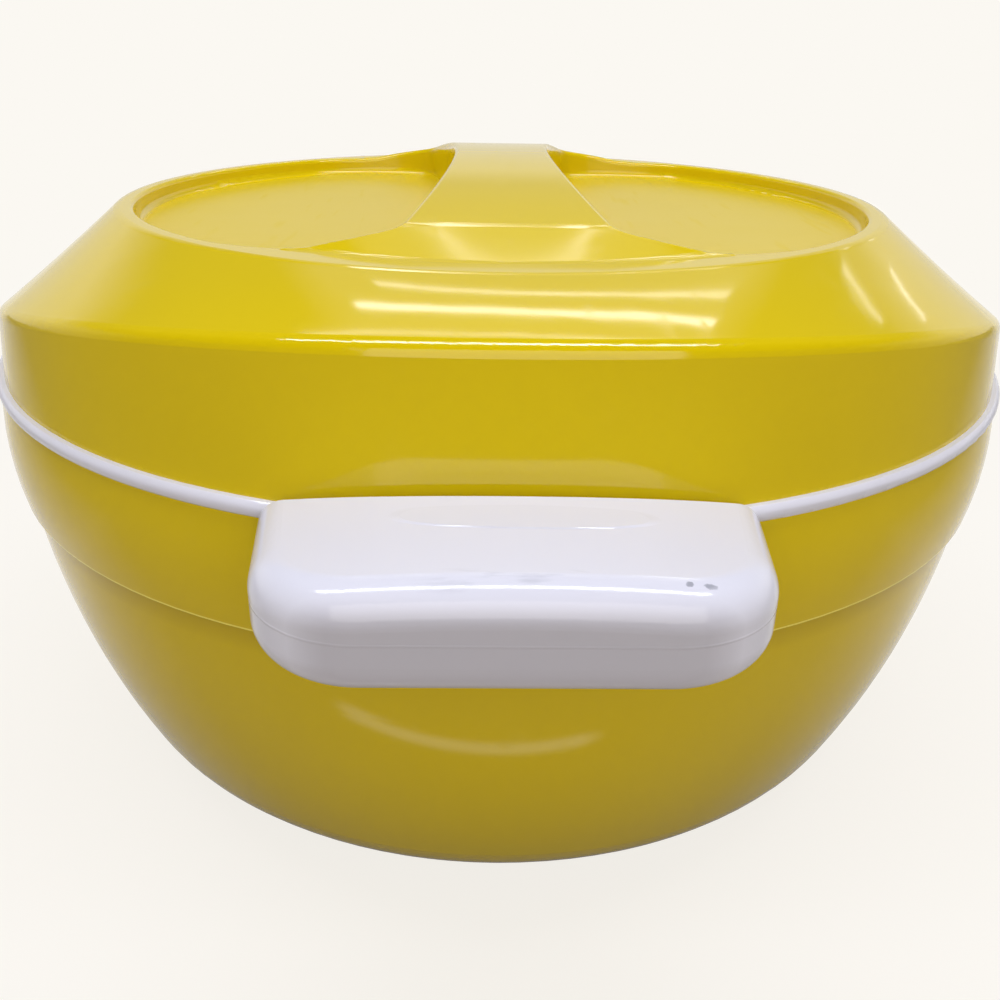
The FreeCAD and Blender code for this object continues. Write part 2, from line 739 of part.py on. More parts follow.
def steel_wall(outset):
    """Corners of the steel bowl's wall from its mouth to its axis, drawn out by outset."""
    return [
        (MOUTH_RADIUS + outset, FLANGE_LOW),
        (STEEL_TURN_RADIUS + outset, D["steel_turn_height"]),
        (STEEL_BOTTOM_RADIUS, D["steel_floor"] - outset, -(D["steel_sweep"] + outset)),
    ]


def make_inner_bowl():
    gauge = D["steel_gauge"]
    outside = steel_wall(gauge)
    inside = steel_wall(as_size(0.0))
    node("steel_inner_bowl", revolved("steel_bowl_body", [
        (FLANGE_RADIUS, LAND_LOW),
        (FLANGE_RADIUS, FLANGE_LOW),
    ] + outside + [
        (0, D["steel_floor"] - gauge),
        (0, D["steel_floor"]),
        (inside[2][0], inside[2][1]),
        (inside[1][0], inside[1][1], -inside[2][2]),
        (MOUTH_RADIUS, LAND_LOW),
    ]))


def make_bowl_foam():
    gap = D["fit_gap"]
    outside = bowl_wall(D["bowl_wall"] + gap, FLANGE_LOW)
    inside = steel_wall(D["steel_gauge"] + gap)
    node("bowl_insulation", revolved("bowl_foam_body", [
        (inside[0][0], FLANGE_LOW),
        (inside[1][0], inside[1][1]),
        (inside[2][0], inside[2][1], inside[2][2]),
        (0, inside[2][1]),
        (0, BASE_TOP + gap),
        (outside[4][0], BASE_TOP + gap),
        (outside[3][0], outside[3][1], -outside[4][2]),
        (outside[2][0], outside[2][1], -outside[3][2]),
        (outside[1][0], outside[1][1]),
        (outside[0][0], SPIGOT_LOW - gap, -outside[1][2]),
        (SPIGOT_INNER - gap, SPIGOT_LOW - gap),
        (SPIGOT_INNER - gap, FLANGE_LOW),
    ]))


def make_collar():
    """The collar: bead, land, spigot and the two lugs that carry the handles."""
    bead = D["bead_height"]
    bulge = D["bead_bulge"]
    bead_sweep = (bead * bead / 4.0 + bulge * bulge) / (2.0 * bulge)
    turn = D["land_round"]
    ring = revolved("collar_body", [
        (COLLAR_INNER, LAND_LOW),
        (SPIGOT_INNER, LAND_LOW),
        (SPIGOT_INNER, SPIGOT_LOW),
        (SPIGOT_OUTER, SPIGOT_LOW),
        (SPIGOT_OUTER, COLLAR_LOW),
        (BOWL_RADIUS, COLLAR_LOW),
        (BOWL_RADIUS, SEAT, bead_sweep),
        (COLLAR_INNER + turn, SEAT),
        (COLLAR_INNER, SEAT - turn, turn),
    ])
    lug_root = BOWL_RADIUS - D["bowl_wall"]
    lugs = ring.newObject("Sketcher::SketchObject", "lug_plan")
    lugs.AttachmentSupport = [(origin_plane(ring, "XY_Plane"), "")]
    lugs.MapMode = "FlatFace"
    bind(lugs, "AttachmentOffset.Base.z", COLLAR_LOW)
    half = D["lug_half_width"]
    for sign in (1.0, -1.0):
        outline(lugs, [(half, sign * LUG_REACH), (-half, sign * LUG_REACH),
                       (-half, sign * lug_root), (half, sign * lug_root)])
    pad = ring.newObject("PartDesign::Pad", "lugs")
    pad.Profile = lugs
    bind(pad, "Length", D["lug_thickness"])
    doc.recompute()
    holes = [cylinder(f"lug_hole_{side}_{end}", D["screw_radius"] + D["screw_gap"],
                      COLLAR_LOW - CLEAR, LUG_TOP + CLEAR,
                      side * D["screw_spacing"] / 2.0, end * SCREW_REACH)
             for side in (-1.0, 1.0) for end in (-1.0, 1.0)]
    node("collar_ring", cut("collar_solid", ring, fused("lug_holes", holes)))


# ---------------------------------------------------------------- handles

# Edge radius lost inside the handle for each millimetre of its wall.
ROUND_DRAW = 0.7


def handle_form(name, inset):
    """The handle's whole outside, upper and lower halves together, drawn in by inset."""
    low = HANDLE_LOW + inset
    front = HANDLE_REACH - inset
    body = new_body(name)
    sections = []
    for place, distance, half, top, crown in (
            ("root", HANDLE_ROOT, D["handle_root_half"], D["root_crown_top"],
             D["root_crown"]),
            ("tip", front, D["handle_tip_half"], D["tip_crown_top"], D["tip_crown"])):
        width = half - inset
        shoulder = SEAT + top - crown - inset
        sweep = (width * width + crown * crown) / (2.0 * crown)
        sketch = new_sketch(body, f"{name}_{place}", "XZ_Plane", distance)
        outline(sketch, [(-width, shoulder, sweep), (-width, low), (width, low),
                         (width, shoulder)])
        sections.append(sketch)
    loft = body.newObject("PartDesign::AdditiveLoft", f"{name}_loft")
    loft.Profile = sections[0]
    loft.Sections = [sections[1]]
    loft.Ruled = True

    def lies_at(edge, distance):
        box = edge.BoundBox
        return abs(box.YMin + distance.value) < NEAR and box.YLength < NEAR

    def corner_edge(edge):
        """The two upright edges of the front face."""
        return lies_at(edge, front) and edge.BoundBox.XLength < NEAR

    def long_edge(edge):
        """Edges of the top and underside, but not those in the root's own plane."""
        upright = edge.BoundBox.ZLength > D["handle_drop"].value / 2.0
        return not upright and not lies_at(edge, HANDLE_ROOT)

    rounded(body, f"{name}_corners", D["handle_corner"] - inset, corner_edge)
    rounded(body, f"{name}_edges", D["handle_round"] - ROUND_DRAW * inset, long_edge)
    return body


def pair(name, radius, low, high):
    """The same drum at both of the front handle's screws."""
    half = D["screw_spacing"] / 2.0
    return [cylinder(f"{name}_{tag}", radius, low, high, side * half, -SCREW_REACH)
            for tag, side in (("left", -1.0), ("right", 1.0))]


def make_handle():
    """The front handle's shell, cover and screws; the rear ones are these, turned."""
    wall = D["handle_wall"]
    gap = D["fit_gap"]
    half = D["handle_root_half"] + CLEAR
    near = HANDLE_ROOT - CLEAR
    far = HANDLE_REACH + CLEAR
    below = HANDLE_LOW - CLEAR
    above = SEAT + D["root_crown_top"] + CLEAR
    shell_back = BOWL_RADIUS + D["bead_bulge"] + 2.0 * gap
    cover_back = BOWL_RADIUS + BAND_BULGE + gap
    head_low = HANDLE_LOW + D["screw_recess"]
    head_top = head_low + D["screw_head_height"]
    screw_top = LUG_TOP + D["screw_grip"]
    form = handle_form("handle_form", as_size(0.0))
    inner = handle_form("handle_inside", wall)

    # upper shell: hollow below, with a slot for the lug and a boss over each screw
    upper = shared("shell_half", form, slab("shell_box", half, near, far, COLLAR_LOW, above))
    boss = D["screw_radius"] + D["boss_wall"]
    hollow = cut("shell_hollow_front", inner,
                 cylinder("shell_back_wall", shell_back + wall, below, above))
    hollow = cut("shell_hollow", hollow, fused("shell_bosses", pair(
        "shell_boss", boss, LUG_TOP, above)))
    slot = slab("lug_slot", D["lug_half_width"] + gap, near, LUG_REACH + gap,
                COLLAR_LOW - CLEAR, LUG_TOP)
    back = cylinder("shell_back", shell_back, below, above)
    pilots = pair("pilot", D["screw_radius"] + D["thread_gap"], COLLAR_LOW - CLEAR,
                  screw_top + gap)
    shell = cut("handle_shell", upper, fused("shell_tools", [hollow, back, slot] + pilots))

    # lower cover: hollow above, with a post round each screw
    lower = shared("cover_half", form, slab("cover_box", half, near, far, below, COLLAR_LOW))
    bore = D["screw_head_radius"] + D["screw_gap"]
    tray = cut("cover_hollow_front", inner,
               cylinder("cover_back_wall", cover_back + wall, below, above))
    tray = cut("cover_hollow", tray, fused("cover_posts", pair(
        "cover_post", bore + D["post_wall"], below, COLLAR_LOW)))
    back = cylinder("cover_back", cover_back, below, above)
    bores = pair("cover_bore", D["screw_radius"] + D["screw_gap"], below,
                 COLLAR_LOW + CLEAR)
    bores += pair("cover_counterbore", bore, below, head_top)
    cover = cut("handle_cover", lower, fused("cover_tools", [tray, back] + bores))

    heads = pair("screw_head", D["screw_head_radius"], head_low, head_top)
    shanks = pair("screw_shank", D["screw_radius"], head_low, screw_top)
    screws = doc.addObject("Part::Compound", "screw_pair")
    screws.Links = [fused(f"screw_{number}", [head, shank])
                    for number, (head, shank) in enumerate(zip(heads, shanks))]
    return shell, cover, screws


def turned_copy(name, thing):
    """The same piece at the other end of the casserole."""
    other = doc.addObject("Part::Compound", name)
    other.Links = [thing]
    other.Placement = Placement(Vector(), Rotation(UP, 180))
    return other


def make_handles():
    for thing, label in zip(make_handle(), ("handle", "handle_cover", "handle_screws")):
        node(f"front_{label}", thing)
        node(f"rear_{label}", turned_copy(f"rear_{label}_copy", thing))


# ---------------------------------------------------------------- build

def check_document():
    """Stop if any object failed or any sub-part isn't sound."""
    for item in doc.Objects:
        if "Invalid" in item.State or "Error" in item.State:
            raise RuntimeError(f"{item.Label} is {item.State}")
    for name, thing in nodes.items():
        shape = thing.Shape
        if shape.isNull() or not shape.isValid():
            raise RuntimeError(f"{name} has no valid shape")


make_lid()
make_collar()
make_bowl()
make_inner_bowl()
make_bowl_foam()
make_handles()
doc.recompute()
check_document()
os.makedirs("parts", exist_ok=True)
for name, thing in nodes.items():
    thing.Shape.exportStep(f"parts/{name}.step")
    print(name, len(thing.Shape.Solids), f"{thing.Shape.Volume:.0f} mm3")
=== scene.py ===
"""Looks for the insulated chapati casserole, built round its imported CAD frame.

Metres, +Z up. The front handle points along -Y, towards the camera.
"""
import json
import math

import bpy
from mathutils import Matrix, Vector

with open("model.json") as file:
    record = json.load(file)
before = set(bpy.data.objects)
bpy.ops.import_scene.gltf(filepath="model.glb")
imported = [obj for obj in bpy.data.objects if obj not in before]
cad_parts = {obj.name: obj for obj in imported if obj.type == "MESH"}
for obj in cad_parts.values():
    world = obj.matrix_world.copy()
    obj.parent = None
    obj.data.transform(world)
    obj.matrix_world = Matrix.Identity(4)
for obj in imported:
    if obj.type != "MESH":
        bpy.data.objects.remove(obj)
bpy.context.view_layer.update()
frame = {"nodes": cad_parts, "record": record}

SCENE = bpy.context.scene

# In the constants below, a BAND is its low end, its high end and the width of its soft
# edge. A RAMP is its first and last results, then where it starts and ends, which are 0
# and 1 if it doesn't say. A NOISE is its cells per metre, its detail and its stretch.


# ---------------------------------------------------------------- nodes

class Graph:
    """The nodes and links of one material or of the world."""

    def __init__(self, tree):
        self.nodes = tree.nodes
        self.links = tree.links

    def link(self, source, target):
        self.links.new(source, target)

    def coordinates(self, kind="Object"):
        """The x, y and z of a point: the object's own, in metres, unless kind says."""
        place = self.nodes.new("ShaderNodeTexCoord")
        split = self.nodes.new("ShaderNodeSeparateXYZ")
        self.link(place.outputs[kind], split.inputs["Vector"])
        return [split.outputs[axis] for axis in "XYZ"]

    def noise(self, scale, detail=2.0, stretch=(1.0, 1.0, 1.0)):
        """Noise from 0 to 1 in the object's own coordinates, in cells per metre."""
        place = self.nodes.new("ShaderNodeTexCoord")
        mapping = self.nodes.new("ShaderNodeMapping")
        mapping.inputs["Scale"].default_value = stretch
        texture = self.nodes.new("ShaderNodeTexNoise")
        texture.inputs["Scale"].default_value = scale
        texture.inputs["Detail"].default_value = detail
        self.link(place.outputs["Object"], mapping.inputs["Vector"])
        self.link(mapping.outputs["Vector"], texture.inputs["Vector"])
        return texture.outputs["Fac"]

    def maths(self, operation, *values):
        """One maths node on numbers or sockets."""
        node = self.nodes.new("ShaderNodeMath")
        node.operation = operation
        for socket, value in zip(node.inputs, values):
            if isinstance(value, float):
                socket.default_value = value
            else:
                self.link(value, socket)
        return node.outputs["Value"]

    def fold(self, operation, values):
        """The operation on the first two values, then on that and the next one."""
        result = values[0]
        for value in values[1:]:
            result = self.maths(operation, result, value)
        return result

    def add(self, *values):
        return self.fold("ADD", values)

    def multiply(self, *values):
        return self.fold("MULTIPLY", values)

    def largest(self, *values):
        return self.fold("MAXIMUM", values)

    def smallest(self, *values):
        return self.fold("MINIMUM", values)

    def square(self, value):
        return self.multiply(value, value)

    def offset(self, value, start, unit=1.0):
        """How far value is past start, in units."""
        away = self.maths("SUBTRACT", value, start)
        return self.maths("DIVIDE", away, unit)

    def radius(self, across, along):
        return self.maths("SQRT", self.add(self.square(across), self.square(along)))

    def ramp(self, source, first, last, start=0.0, end=1.0):
        """Goes evenly from first to last as source goes from start to end."""
        spread = self.nodes.new("ShaderNodeMapRange")
        spread.inputs["From Min"].default_value = start
        spread.inputs["From Max"].default_value = end
        spread.inputs["To Min"].default_value = first
        spread.inputs["To Max"].default_value = last
        self.link(source, spread.inputs["Value"])
        return spread.outputs["Result"]

    def within(self, value, low, high, edge):
        """One between low and high, and nothing beyond a soft edge."""
        return self.multiply(self.ramp(value, 0.0, 1.0, low - edge, low),
                             self.ramp(value, 1.0, 0.0, high, high + edge))

    def blend(self, factor, first, second):
        """A colour between first and second, each a tuple or a socket."""
        mixer = self.nodes.new("ShaderNodeMix")
        mixer.data_type = "RGBA"
        for name, value in (("A", first), ("B", second)):
            target = next(socket for socket in mixer.inputs
                          if socket.name == name and socket.type == "RGBA")
            if isinstance(value, tuple):
                target.default_value = (*value, 1.0)
            else:
                self.link(value, target)
        self.link(factor, mixer.inputs["Factor"])
        return next(socket for socket in mixer.outputs if socket.type == "RGBA")

    def relief(self, height, shader, strength=1.0, distance=1.0):
        """Relief on the shader's surface, in metres where distance is 1."""
        bump = self.nodes.new("ShaderNodeBump")
        bump.inputs["Strength"].default_value = strength
        bump.inputs["Distance"].default_value = distance
        self.link(height, bump.inputs["Height"])
        self.link(bump.outputs["Normal"], shader.inputs["Normal"])

    def ray_kinds(self):
        """One for camera rays, and one for camera, glossy and transmission rays."""
        path = self.nodes.new("ShaderNodeLightPath")
        direct = path.outputs["Is Camera Ray"]
        seen = self.largest(direct, path.outputs["Is Glossy Ray"],
                            path.outputs["Is Transmission Ray"])
        return direct, seen


def new_material(name):
    """A new material, its graph and its Principled shader."""
    material = bpy.data.materials.new(name)
    material.use_nodes = True
    graph = Graph(material.node_tree)
    return material, graph, graph.nodes["Principled BSDF"]


# ---------------------------------------------------------------- plastics

PLASTIC_IOR = 1.5
RIPPLE_CELLS = 16.0


def ripple(graph, height):
    """The faint waviness of a moulded face, height metres deep."""
    return graph.multiply(graph.noise(RIPPLE_CELLS, 1.0), height)


YELLOW = (0.74, 0.558, 0.003)
YELLOW_DEEP = (0.71, 0.528, 0.002)
# the next colour is painted shade under the band's step
YELLOW_STEP_SHADE = (0.42, 0.28, 0.004)
# the next colour is a painted highlight along the band step's edge
YELLOW_EDGE_HIGHLIGHT = (0.98, 0.86, 0.14)
YELLOW_DRIFT_CELLS = 7.0
BAND_STEP = 0.0778                      # height of the lower edge of the bowl's band
# the next two ramps place the painted shade under the band's step
STEP_SHADE_RISE_RAMP = (0.0, 0.60, BAND_STEP - 0.0065, BAND_STEP)
STEP_SHADE_END_RAMP = (1.0, 0.0, BAND_STEP, BAND_STEP + 0.0001)
# the next band places the painted highlight along the step's edge
EDGE_HIGHLIGHT_BAND = (BAND_STEP, BAND_STEP + 0.00035, 0.0001)
WELL_FLOOR_BAND = (0.1340, 0.1352, 0.0005)
WELL_RADIUS_BAND = (0.0, 0.0895, 0.001)
WELL_SATIN = 0.24
YELLOW_HAZE_NOISE = (60.0, 4.0)
YELLOW_HAZE_RAMP = (0.06, 0.10)
RUBBED_NOISE = (240.0, 2.0, (1.0, 0.12, 1.0))
RUBBED_RAMP = (0.0, 0.07, 0.62, 0.74)
YELLOW_RIPPLE = 0.00022
SHOULDER_INNER = 0.0965                 # the lid's shoulder: radii, and how full it is
SHOULDER_MIDDLE = 0.1120
SHOULDER_OUTER = 0.1215
SHOULDER_CROWN = 2.7


def shoulder_crown(graph, radius):
    """The shoulder is moulded slightly full: relief that is level beyond its ends."""
    held = graph.largest(graph.smallest(radius, SHOULDER_OUTER), SHOULDER_INNER)
    away = graph.offset(held, SHOULDER_MIDDLE)
    return graph.multiply(graph.square(away), -SHOULDER_CROWN)


def yellow_plastic():
    """Glossy golden-yellow plastic with a little drift, fine wear, satin wells, painted
    shade under the band's step and a painted highlight along its edge.
    """
    material, graph, shader = new_material("yellow_plastic")
    across, along, up = graph.coordinates()
    radius = graph.radius(across, along)

    colour = graph.blend(graph.noise(YELLOW_DRIFT_CELLS), YELLOW, YELLOW_DEEP)
    # painted shade under the band's step, and a painted highlight along the step's edge
    step_shade = graph.multiply(graph.ramp(up, *STEP_SHADE_RISE_RAMP),
                           graph.ramp(up, *STEP_SHADE_END_RAMP))
    colour = graph.blend(step_shade, colour, YELLOW_STEP_SHADE)
    colour = graph.blend(graph.within(up, *EDGE_HIGHLIGHT_BAND), colour, YELLOW_EDGE_HIGHLIGHT)
    graph.link(colour, shader.inputs["Base Color"])

    haze = graph.ramp(graph.noise(*YELLOW_HAZE_NOISE), *YELLOW_HAZE_RAMP)
    rubbed = graph.ramp(graph.noise(*RUBBED_NOISE), *RUBBED_RAMP)
    wells = graph.multiply(graph.within(up, *WELL_FLOOR_BAND),
                           graph.within(radius, *WELL_RADIUS_BAND), WELL_SATIN)
    graph.link(graph.add(haze, rubbed, wells), shader.inputs["Roughness"])

    graph.relief(graph.add(ripple(graph, YELLOW_RIPPLE), shoulder_crown(graph, radius)),
                 shader)
    shader.inputs["IOR"].default_value = PLASTIC_IOR
    return material


WHITE = (0.77, 0.775, 0.85)
WHITE_DULL = (0.75, 0.755, 0.83)
# the next colour is painted shade on the handles' front faces
WHITE_FRONT_SHADE = (0.57, 0.565, 0.615)
WHITE_DRIFT_CELLS = 16.0
# these ramps place the painted shade on the handles' front faces
FRONT_SHADE_OUT_RAMP = (0.0, 1.0, 0.1535, 0.1560)
FRONT_SHADE_UP_RAMP = (1.0, 0.0, 0.1045, 0.1075)
SCUFF = (0.22, 0.23, 0.27)
SCUFF_ROUGHNESS = 0.3
SCUFF_ALONG_BAND = (-0.1535, -0.1505, 0.0010)
SCUFF_UP_BAND = (0.1080, 0.1100, 0.0006)
SMEAR_NOISE = (420.0, 3.0, (0.2, 1.0, 1.0))
SMEAR_RAMP = (0.0, 0.30, 0.54, 0.70)
SMEAR_ACROSS_BAND = (-0.009, 0.019, 0.006)
SPECKS = ((0.0240, 0.0006), (0.0271, 0.0011))   # place across, and half width
SPECK_ALONG = -0.1520
SPECK_HALF_DEPTH = 0.0006
SPECK_RAMP = (0.7, 0.0, 0.4, 1.0)
RAGGED_CELLS = 1400.0
RAGGED_RAMP = (-0.9, 0.9)
WHITE_HAZE_NOISE = (55.0, 4.0)
WHITE_HAZE_RAMP = (0.09, 0.15)
WHITE_RIPPLE = 0.00006

SEAM_UP_BAND = (0.1007, 0.1008, 0.00025)
SEAM_RAMP = (0.0, 0.00006, 0.128, 0.130)        # its depth, beyond the ring
LENS_ACROSS = 0.0018
LENS_OUT = 0.1330
LENS_HALF_WIDTH = 0.0205
LENS_HALF_DEPTH = 0.0050
LENS_RAMP = (0.00035, 0.0, 0.90, 1.08)          # its height, inside a soft lip
LENS_FADE_RAMP = (0.0, 1.0, -0.5, 0.9)
LENS_UP_RAMP = (0.0, 1.0, 0.1075, 0.1080)


def handle_relief(graph, across, along, up):
    """The handles' moulding line, and the faint lens on their tops, in metres."""
    out = graph.maths("ABSOLUTE", along)
    seam = graph.multiply(graph.within(up, *SEAM_UP_BAND), graph.ramp(out, *SEAM_RAMP))
    wide = graph.offset(across, LENS_ACROSS, LENS_HALF_WIDTH)
    deep = graph.offset(out, LENS_OUT, LENS_HALF_DEPTH)
    reach = graph.add(graph.square(wide), graph.square(deep))
    lens = graph.multiply(graph.ramp(reach, *LENS_RAMP),
                          graph.ramp(deep, *LENS_FADE_RAMP),
                          graph.ramp(up, *LENS_UP_RAMP))
    return graph.add(seam, lens)


def handle_scuffs(graph, across, along, up):
    """Grey smears and specks on the front handle's upper edge, from 0 to 1."""
    smear = graph.multiply(graph.ramp(graph.noise(*SMEAR_NOISE), *SMEAR_RAMP),
                           graph.within(across, *SMEAR_ACROSS_BAND))
    ragged = graph.ramp(graph.noise(RAGGED_CELLS), *RAGGED_RAMP)
    deep = graph.offset(along, SPECK_ALONG, SPECK_HALF_DEPTH)
    marks = [smear]
    for place, half_width in SPECKS:
        wide = graph.offset(across, place, half_width)
        reach = graph.add(graph.square(wide), graph.square(deep), ragged)
        marks.append(graph.ramp(reach, *SPECK_RAMP))
    return graph.multiply(graph.largest(*marks), graph.within(along, *SCUFF_ALONG_BAND),
                          graph.within(up, *SCUFF_UP_BAND))


def white_plastic():
    """Cool white plastic, with painted shade on the handles' front faces, and scuffed
    on one edge.
    """
    material, graph, shader = new_material("white_plastic")
    across, along, up = graph.coordinates()
    scuffs = handle_scuffs(graph, across, along, up)

    colour = graph.blend(graph.noise(WHITE_DRIFT_CELLS), WHITE, WHITE_DULL)
    # the handles' front faces are darkened: painted shade
    out = graph.maths("ABSOLUTE", along)
    front_shade = graph.multiply(graph.ramp(out, *FRONT_SHADE_OUT_RAMP),
                            graph.ramp(up, *FRONT_SHADE_UP_RAMP))
    colour = graph.blend(front_shade, colour, WHITE_FRONT_SHADE)
    graph.link(graph.blend(scuffs, colour, SCUFF), shader.inputs["Base Color"])

    haze = graph.ramp(graph.noise(*WHITE_HAZE_NOISE), *WHITE_HAZE_RAMP)
    graph.link(graph.add(haze, graph.multiply(scuffs, SCUFF_ROUGHNESS)),
               shader.inputs["Roughness"])

    graph.relief(graph.add(ripple(graph, WHITE_RIPPLE),
                           handle_relief(graph, across, along, up)), shader)
    shader.inputs["IOR"].default_value = PLASTIC_IOR
    return material


# ---------------------------------------------------------------- metal and foam

METAL_NOISE = (40.0, 3.0, (1.0, 1.0, 12.0))     # turned fine round the bowl
METAL_DARKER = 0.9
METAL_SMOOTHER = 0.8
METAL_ROUGHER = 1.3
FOAM_NOISE = (700.0, 3.0)
FOAM_DARKER = 0.8
FOAM_ROUGHNESS = 0.9
FOAM_BUMP = (0.5, 0.0006)                       # strength and distance


def scaled(colour, share):
    return tuple(share * part for part in colour)


def metal(name, colour, roughness):
    """Bare metal with the fine lines of its turning."""
    material, graph, shader = new_material(name)
    lines = graph.noise(*METAL_NOISE)
    graph.link(graph.blend(lines, colour, scaled(colour, METAL_DARKER)),
               shader.inputs["Base Color"])
    graph.link(graph.ramp(lines, roughness * METAL_SMOOTHER, roughness * METAL_ROUGHER),
               shader.inputs["Roughness"])
    shader.inputs["Metallic"].default_value = 1.0
    return material


def foam_material(name, colour):
    """Matt rigid foam with small cells."""
    material, graph, shader = new_material(name)
    cells = graph.noise(*FOAM_NOISE)
    graph.link(graph.blend(cells, colour, scaled(colour, FOAM_DARKER)),
               shader.inputs["Base Color"])
    graph.relief(cells, shader, *FOAM_BUMP)
    shader.inputs["Roughness"].default_value = FOAM_ROUGHNESS
    return material


# ---------------------------------------------------------------- object

MATERIALS = {
    "yellow_shell": yellow_plastic(),
    "white_plastic": white_plastic(),
    "steel": metal("spun_steel", (0.66, 0.66, 0.65), 0.22),
    "screw_steel": metal("screw_steel", (0.5, 0.5, 0.5), 0.35),
    "foam": foam_material("rigid_foam", (0.78, 0.66, 0.42)),
}
SLOTS = {item["node"]: item["material_slot"] for item in frame["record"]["subparts"]}

for node_name, node_object in frame["nodes"].items():
    node_object.data.materials.clear()
    node_object.data.materials.append(MATERIALS[SLOTS[node_name]])
    node_object.data.shade_smooth()


# ---------------------------------------------------------------- floor and world

BACKGROUND = (0.965, 0.939, 0.888)
FLOOR_REACH = 3.0
NEAR_RAMP = (1.0, 0.0, 0.16, 0.40)
SHADOWED = 0.14                         # the lit share of the paper near the object
BOUNCE = (0.29, 0.245, 0.215)
BOUNCE_BESIDE = (0.66, 0.59, 0.51)
BESIDE_RAMP = (0.0, 1.0, 0.06, 0.20)

# the floor's level in reflections, which camera rays don't meet
FRONT_LEVEL = 0.20
BACK_LEVEL = 0.9
BACK_RAMP = (FRONT_LEVEL, BACK_LEVEL, -0.06, 0.06)
BACK_LEAN = 0.1
BACK_NEAR = 0.03
FAR_RAMP = (BACK_LEVEL, FRONT_LEVEL, 0.14, 0.40)
FAR_LEAN = 0.8
STREAK_LEVEL = 1.6
STREAK_ALONG_BAND = (-0.1505, -0.1480, 0.003)
STREAK_ACROSS_BAND = (-0.060, 0.031, 0.012)


def reflected_level(graph, across, along, near):
    """How bright reflections show the floor: dim in front and far out to the sides,
    as in a room lit from behind, with one lit streak that makes the bowl's crescent."""
    aside = graph.maths("ABSOLUTE", across)
    back = graph.add(along, graph.multiply(aside, BACK_LEAN),
                     graph.multiply(near, BACK_NEAR))
    far = graph.offset(aside, graph.multiply(along, FAR_LEAN))
    streak = graph.multiply(graph.within(along, *STREAK_ALONG_BAND),
                            graph.within(across, *STREAK_ACROSS_BAND), STREAK_LEVEL)
    room = graph.smallest(graph.ramp(back, *BACK_RAMP), graph.ramp(far, *FAR_RAMP))
    return graph.largest(room, streak)


def make_floor():
    """A pale floor: plain paper that keeps a soft shadow near the object."""
    mesh = bpy.data.meshes.new("floor")
    corners = [(-FLOOR_REACH, -FLOOR_REACH, 0.0), (FLOOR_REACH, -FLOOR_REACH, 0.0),
               (FLOOR_REACH, FLOOR_REACH, 0.0), (-FLOOR_REACH, FLOOR_REACH, 0.0)]
    mesh.from_pydata(corners, [], [(0, 1, 2, 3)])
    floor = bpy.data.objects.new("floor", mesh)
    SCENE.collection.objects.link(floor)
    material, graph, shader = new_material("floor_paper")
    graph.nodes.remove(shader)
    across, along, _ = graph.coordinates()
    near = graph.ramp(graph.radius(across, along), *NEAR_RAMP)
    direct, seen = graph.ray_kinds()

    # seen: bright paper, of which a part near the object is lit and so takes its shadow
    level = graph.multiply(reflected_level(graph, across, along, near),
                           graph.maths("SUBTRACT", 1.0, direct))
    level = graph.add(level, direct)
    glow = graph.nodes.new("ShaderNodeEmission")
    glow.inputs["Color"].default_value = (*BACKGROUND, 1.0)
    unlit = graph.ramp(near, 1.0, 1.0 - SHADOWED)
    graph.link(graph.multiply(unlit, level), glow.inputs["Strength"])
    lit = graph.nodes.new("ShaderNodeBsdfDiffuse")
    graph.link(graph.blend(near, (0.0, 0.0, 0.0), scaled(BACKGROUND, SHADOWED)),
               lit.inputs["Color"])
    paper = graph.nodes.new("ShaderNodeAddShader")
    graph.link(glow.outputs["Emission"], paper.inputs[0])
    graph.link(lit.outputs["BSDF"], paper.inputs[1])

    # met by other rays: plain matt paper
    matt = graph.nodes.new("ShaderNodeBsdfDiffuse")
    beside = graph.ramp(graph.maths("ABSOLUTE", across), *BESIDE_RAMP)
    graph.link(graph.blend(beside, BOUNCE, BOUNCE_BESIDE), matt.inputs["Color"])
    mixer = graph.nodes.new("ShaderNodeMixShader")
    graph.link(seen, mixer.inputs["Fac"])
    graph.link(matt.outputs["BSDF"], mixer.inputs[1])
    graph.link(paper.outputs["Shader"], mixer.inputs[2])
    graph.link(mixer.outputs["Shader"],
               graph.nodes["Material Output"].inputs["Surface"])
    mesh.materials.append(material)


# in the world, x, y and z are those of a ray's direction
BEHIND_RAMP = (0.12, 1.0, -0.10, 0.60)
PAPER_LEVEL = 0.78
ROOM_LEVEL = 0.10
PAPER_RAMP = (PAPER_LEVEL, ROOM_LEVEL, 0.28, 0.42)
WALL_RAMP = (0.45, 0.60, 0.58, 0.68)
WALL_ACROSS_BAND = (-0.20, 0.32, 0.08)
WALL_UP_BAND = (0.30, 0.76, 0.06)
DIFFUSE_SHARE = 0.6


def make_world():
    """Pale paper low down behind the object, and one pale wall, in a dim room."""
    world = bpy.data.worlds.new("studio")
    SCENE.world = world
    world.use_nodes = True
    graph = Graph(world.node_tree)
    across, along, up = graph.coordinates("Generated")
    wall = graph.multiply(graph.within(across, *WALL_ACROSS_BAND),
                          graph.within(up, *WALL_UP_BAND), graph.ramp(up, *WALL_RAMP))
    pale = graph.largest(graph.ramp(up, *PAPER_RAMP), wall)
    direct, seen = graph.ray_kinds()
    room = graph.multiply(graph.ramp(along, *BEHIND_RAMP), pale,
                          graph.ramp(seen, DIFFUSE_SHARE, 1.0))
    backdrop = graph.nodes["Background"]
    backdrop.inputs["Color"].default_value = (*BACKGROUND, 1.0)
    graph.link(graph.largest(room, direct), backdrop.inputs["Strength"])


# ---------------------------------------------------------------- lamps

WINDOW = (1.0, 0.96, 0.94)
SKYLIGHT = (0.87, 0.885, 1.0)
PLAIN = (1.0, 1.0, 1.0)
